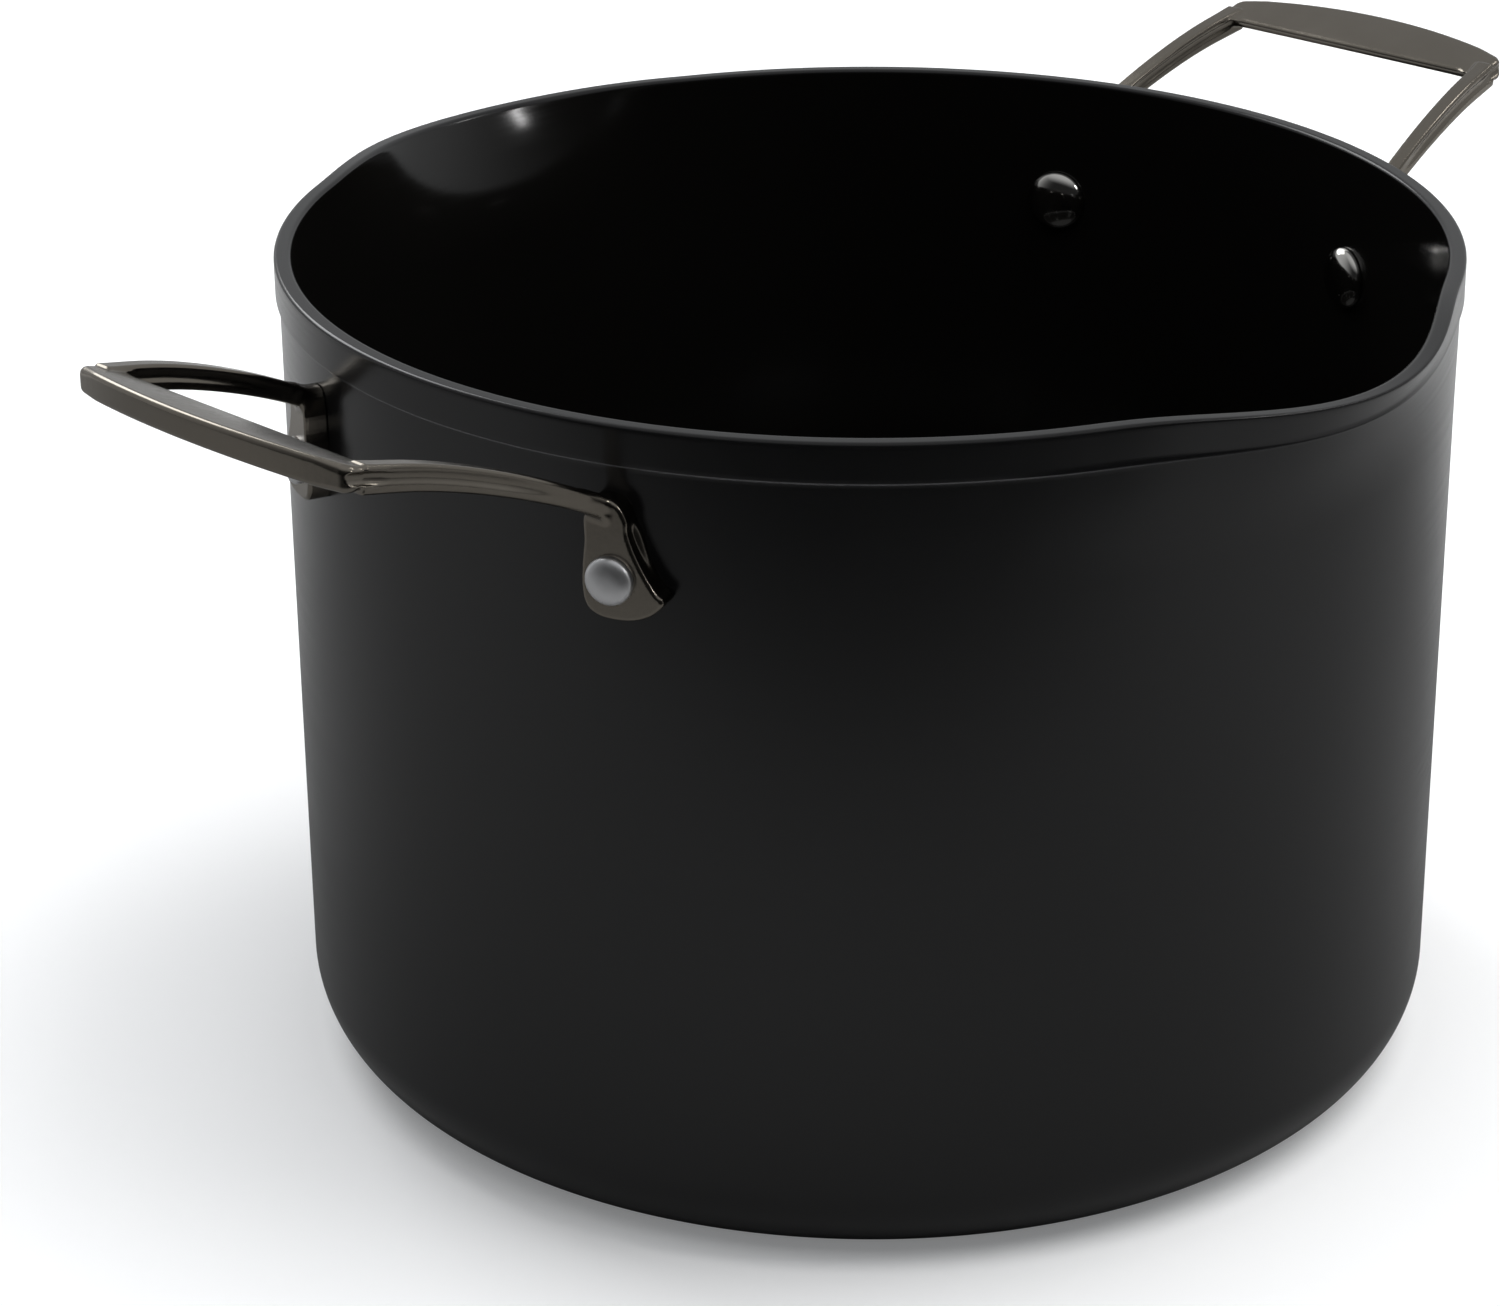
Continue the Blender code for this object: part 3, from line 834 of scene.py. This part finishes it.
def gunmetal_material():
    """Dark polished cast steel with faint polishing marks and slightly uneven gloss."""
    mat, tree, bsdf = node_material("gunmetal")
    links = tree.links
    pos = object_coords(tree)
    cloud = noise(tree, pos, 60.0, 4.0, 0.55)
    marks_map = tree.nodes.new("ShaderNodeMapping")
    marks_map.inputs["Scale"].default_value = (260, 1500, 1500)
    links.new(pos, marks_map.inputs["Vector"])
    marks = noise(tree, marks_map.outputs[0], 1.0, 3.0, 0.6)
    bsdf.inputs["Metallic"].default_value = 1.0
    color = mix_color(tree, cloud, (0.185, 0.165, 0.138), (0.225, 0.205, 0.175))
    links.new(color, bsdf.inputs["Base Color"])
    rough = math_node(
        tree,
        "ADD",
        map_range(tree, cloud, 0.3, 0.7, 0.17, 0.23),
        map_range(tree, marks, 0.35, 0.65, -0.02, 0.03),
    )
    links.new(rough, bsdf.inputs["Roughness"])
    dents = noise(tree, pos, 240.0, 2.0, 0.5)
    height = math_node(
        tree,
        "ADD",
        math_node(tree, "MULTIPLY", marks, 0.25),
        math_node(tree, "MULTIPLY", dents, 1.0),
    )
    bump = add(tree, "ShaderNodeBump", Strength=0.12, Distance=0.0002)
    links.new(height, bump.inputs["Height"])
    links.new(bump.outputs[0], bsdf.inputs["Normal"])
    return mat


def rivet_material():
    """Stainless rivet: mirror-like head inside, satin peened crown outside."""
    mat, tree, bsdf = node_material("rivet_stainless")
    links = tree.links
    coords = tree.nodes.new("ShaderNodeTexCoord")
    split = tree.nodes.new("ShaderNodeSeparateXYZ")
    links.new(coords.outputs["Object"], split.inputs[0])
    outside = map_range(tree, split.outputs[2], 0.1245, 0.1255, 0.0, 1.0)
    pos = object_coords(tree)
    fine = noise(tree, pos, 900.0, 3.0, 0.6)
    coarse = noise(tree, pos, 330.0, 2.0, 0.5)
    bsdf.inputs["Metallic"].default_value = 1.0
    color = mix_color(tree, outside, (0.60, 0.585, 0.56), (0.74, 0.74, 0.75))
    links.new(color, bsdf.inputs["Base Color"])
    rough = math_node(
        tree,
        "ADD",
        map_range(tree, outside, 0.0, 1.0, 0.10, 0.42, False),
        map_range(tree, fine, 0.3, 0.7, -0.02, 0.03),
    )
    links.new(rough, bsdf.inputs["Roughness"])
    height = math_node(
        tree,
        "ADD",
        math_node(tree, "MULTIPLY", math_node(tree, "MULTIPLY", fine, outside), 0.5),
        math_node(tree, "MULTIPLY", coarse, math_node(tree, "ADD", math_node(tree, "MULTIPLY", outside, 0.9), 0.06)),
    )
    bump = add(tree, "ShaderNodeBump", Strength=0.35, Distance=0.00012)
    links.new(height, bump.inputs["Height"])
    links.new(bump.outputs[0], bsdf.inputs["Normal"])
    return mat


# ---------------------------------------------------------------------------
# Camera directions, used by the lights too
# ---------------------------------------------------------------------------
TURN = math.radians(-47.6)  # the handle's axis against the line of sight
CAM = (0.0, -800.3, 439.5)
YAW, PITCH, ROLL = math.radians(-1.291), math.radians(22.517), math.radians(-0.34)
LENS = 96.785
FRAMING = (-0.0224, -0.0815)  # the picture is cropped a little off the lens's axis


def turned(vector):
    return Matrix.Rotation(TURN, 3, "Z") @ Vector(vector)


def make_camera():
    cam = bpy.data.cameras.new("camera")
    cam.sensor_width = 36.0
    cam.sensor_fit = "HORIZONTAL"
    cam.lens = LENS
    cam.clip_start, cam.clip_end = 0.02, 60
    cam.shift_x, cam.shift_y = FRAMING
    obj = bpy.data.objects.new("camera", cam)
    forward = Vector(
        (math.sin(YAW) * math.cos(PITCH), math.cos(YAW) * math.cos(PITCH), -math.sin(PITCH))
    )
    right = Vector((math.cos(YAW), -math.sin(YAW), 0))
    up = right.cross(forward)
    right2 = right * math.cos(ROLL) + up * math.sin(ROLL)
    up2 = up * math.cos(ROLL) - right * math.sin(ROLL)
    basis = Matrix([turned(right2), turned(up2), turned(-forward)]).transposed()
    matrix = basis.to_4x4()
    matrix.translation = turned([c * MM for c in CAM])
    obj.matrix_world = matrix
    bpy.context.scene.collection.objects.link(obj)
    bpy.context.scene.camera = obj
    return obj


def area_light(name, towards, distance, size, power, color=(1, 1, 1), glossy=True, aim=(0, 0, 90)):
    """A soft box. towards is its direction from the pot in viewer terms: right, away, up."""
    light = bpy.data.lights.new(name, "AREA")
    light.shape = "RECTANGLE"
    light.size, light.size_y = size
    light.energy = power
    light.color = color
    obj = bpy.data.objects.new(name, light)
    where = turned(Vector(towards).normalized() * distance) + Vector(aim) * MM
    obj.location = where
    obj.rotation_euler = (where - Vector(aim) * MM).to_track_quat("Z", "Y").to_euler()
    obj.visible_camera = False
    obj.visible_glossy = glossy
    bpy.context.scene.collection.objects.link(obj)
    return obj


def make_world():
    """White to the camera. What the pot reflects is a room: dark behind the viewer, pale round the back."""
    world = bpy.data.worlds.new("studio")
    bpy.context.scene.world = world
    world.use_nodes = True
    tree = world.node_tree
    tree.nodes.clear()
    links = tree.links
    out = tree.nodes.new("ShaderNodeOutputWorld")
    mix = tree.nodes.new("ShaderNodeMixShader")
    path = tree.nodes.new("ShaderNodeLightPath")
    seen = tree.nodes.new("ShaderNodeBackground")
    seen.inputs["Color"].default_value = (1, 1, 1, 1)
    seen.inputs["Strength"].default_value = 1.0
    room = tree.nodes.new("ShaderNodeBackground")
    coords = tree.nodes.new("ShaderNodeTexCoord")
    front = tree.nodes.new("ShaderNodeVectorMath")
    front.operation = "DOT_PRODUCT"
    front.inputs[1].default_value = tuple(turned((0, -1, 0)))
    links.new(coords.outputs["Generated"], front.inputs[0])
    split = tree.nodes.new("ShaderNodeSeparateXYZ")
    links.new(coords.outputs["Generated"], split.inputs[0])
    # 1 away from the viewer, 0 behind the viewer
    round_back = map_range(tree, front.outputs["Value"], 0.75, -0.35, 0.02, 0.5)
    overhead = map_range(tree, split.outputs[2], 0.35, 0.95, 0.0, 0.55)
    below = map_range(tree, split.outputs[2], -0.25, 0.0, 0.15, 1.0)
    level = math_node(tree, "MAXIMUM", math_node(tree, "MULTIPLY", round_back, below), overhead)
    links.new(level, room.inputs["Strength"])
    room.inputs["Color"].default_value = (0.97, 0.985, 1.0, 1)
    links.new(path.outputs["Is Camera Ray"], mix.inputs[0])
    links.new(room.outputs[0], mix.inputs[1])
    links.new(seen.outputs[0], mix.inputs[2])
    links.new(mix.outputs[0], out.inputs[0])


def make_floor():
    """A pale table top whose near edge is a little in front of the pot."""
    near, far, half = 640.0, 2600.0, 2600.0
    corners = [(-half, -near), (half, -near), (half, far), (-half, far)]
    count = 24
    verts, faces = [], []
    for i in range(count + 1):
        for j in range(count + 1):
            s, t = i / count, j / count
            x = corners[0][0] + (corners[1][0] - corners[0][0]) * s
            y = corners[0][1] + (corners[3][1] - corners[0][1]) * t
            p = turned((x, y, 0))
            verts.append((p.x, p.y, -0.05))
    for i in range(count):
        for j in range(count):
            a = i * (count + 1) + j
            faces.append((a, a + count + 1, a + count + 2, a + 1))
    obj = new_object("table_top", verts, faces)
    mat, tree, bsdf = node_material("table_with_painted_light")
    tree.nodes.remove(bsdf)
    diffuse = add(tree, "ShaderNodeBsdfDiffuse")
    diffuse.inputs["Color"].default_value = (0.88, 0.88, 0.885, 1)
    # Painted light: the table glows faintly within the pot's footprint and just past its rounded foot, lightening
    # the contact shadow there.
    lift = add(tree, "ShaderNodeEmission", Color=(0.97, 0.985, 1.0, 1))
    floor_and_painted_glow = tree.nodes.new("ShaderNodeAddShader")
    tree.links.new(diffuse.outputs[0], floor_and_painted_glow.inputs[0])
    tree.links.new(lift.outputs[0], floor_and_painted_glow.inputs[1])
    # Painted reflection: rays reflected off the pot see the table greyer, with painted shade growing towards its
    # near edge and a brighter reach far behind the pot.
    painted_reflection_floor = add(tree, "ShaderNodeBsdfDiffuse")
    spot = tree.nodes.new("ShaderNodeNewGeometry")
    away = tree.nodes.new("ShaderNodeVectorMath")
    away.operation = "DOT_PRODUCT"
    away.inputs[1].default_value = tuple(turned((0, 1, 0)))
    tree.links.new(spot.outputs["Position"], away.inputs[0])
    reach = tree.nodes.new("ShaderNodeVectorMath")
    reach.operation = "LENGTH"
    tree.links.new(spot.outputs["Position"], reach.inputs[0])
    # painted light: glow strength 0.19 within 112 mm of the pot's axis, fading to none at 126 mm
    tree.links.new(map_range(tree, reach.outputs["Value"], 0.112, 0.126, 0.19, 0.0), lift.inputs["Strength"])
    y = away.outputs["Value"]
    painted_reflection_tone = math_node(
        tree,
        "MULTIPLY",
        math_node(
            tree,
            "MULTIPLY",
            map_range(tree, y, -0.56, -0.27, 0.004, 0.235),
            map_range(tree, y, -0.20, 0.0, 1.0, 0.87),
        ),
        map_range(tree, y, 0.10, 0.45, 1.0, 2.3),
    )
    tree.links.new(painted_reflection_tone, painted_reflection_floor.inputs["Color"])
    path = tree.nodes.new("ShaderNodeLightPath")
    mix = tree.nodes.new("ShaderNodeMixShader")
    tree.links.new(path.outputs["Is Glossy Ray"], mix.inputs[0])
    tree.links.new(floor_and_painted_glow.outputs[0], mix.inputs[1])
    tree.links.new(painted_reflection_floor.outputs[0], mix.inputs[2])
    tree.links.new(mix.outputs[0], tree.nodes["Material Output"].inputs["Surface"])
    obj.data.materials.append(mat)
    return obj


# ---------------------------------------------------------------------------
# Build
# ---------------------------------------------------------------------------
make_camera()

anodised = anodised_material()
gunmetal = gunmetal_material()
stainless = rivet_material()

pot = make_pot()
pot.data.materials.append(anodised)
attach(pot, "root")
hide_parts("pot_body")

casting = make_handle_mesh()
casting.materials.clear()
casting.materials.append(gunmetal)
for side, angle in (("right", 0.0), ("left", math.pi)):
    handle = bpy.data.objects.new(f"cast_handle_{side}", casting if angle == 0 else casting.copy())
    handle.rotation_euler = (0, 0, angle)
    bpy.context.scene.collection.objects.link(handle)
    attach(handle, "root")
    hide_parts(f"handle_{side}")

for side, base in (("right", 0.0), ("left", math.pi)):
    for sign in (-1, 1):
        front = sign < 0 if side == "right" else sign > 0
        end = "front" if front else "back"
        rivet = lathe(f"solid_rivet_{side}_{end}", rivet_profile())
        rivet.data.materials.append(stainless)
        rivet.matrix_world = rivet_matrix(base + sign * RIVET_ANGLE)
        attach(rivet, "root")
        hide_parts(f"rivet_{side}_{end}")

make_floor()
make_world()
area_light("key", (0.95, 0.15, 1.3), 2.0, (1.8, 1.8), 29, (1.0, 0.995, 0.985), glossy=False)
sparkle = area_light("sparkle", (0.9, 0.35, 1.25), 2.0, (0.3, 0.3), 2.2, (1.0, 0.995, 0.985))
sparkle.visible_diffuse = False
glint = area_light("glint", (1.363, -0.772, 1.16), 1.95, (0.12, 0.45), 3.6, (1.0, 1.0, 1.0))
glint.visible_diffuse = False
area_light("overhead", (0.0, -0.1, 1.0), 1.9, (2.6, 2.6), 32, (0.98, 0.99, 1.0), glossy=False)
area_light("back_left", (-0.8, 0.9, 0.9), 1.6, (0.8, 0.8), 9, (0.98, 0.99, 1.0))
bpy.context.scene.view_settings.view_transform = "Standard"
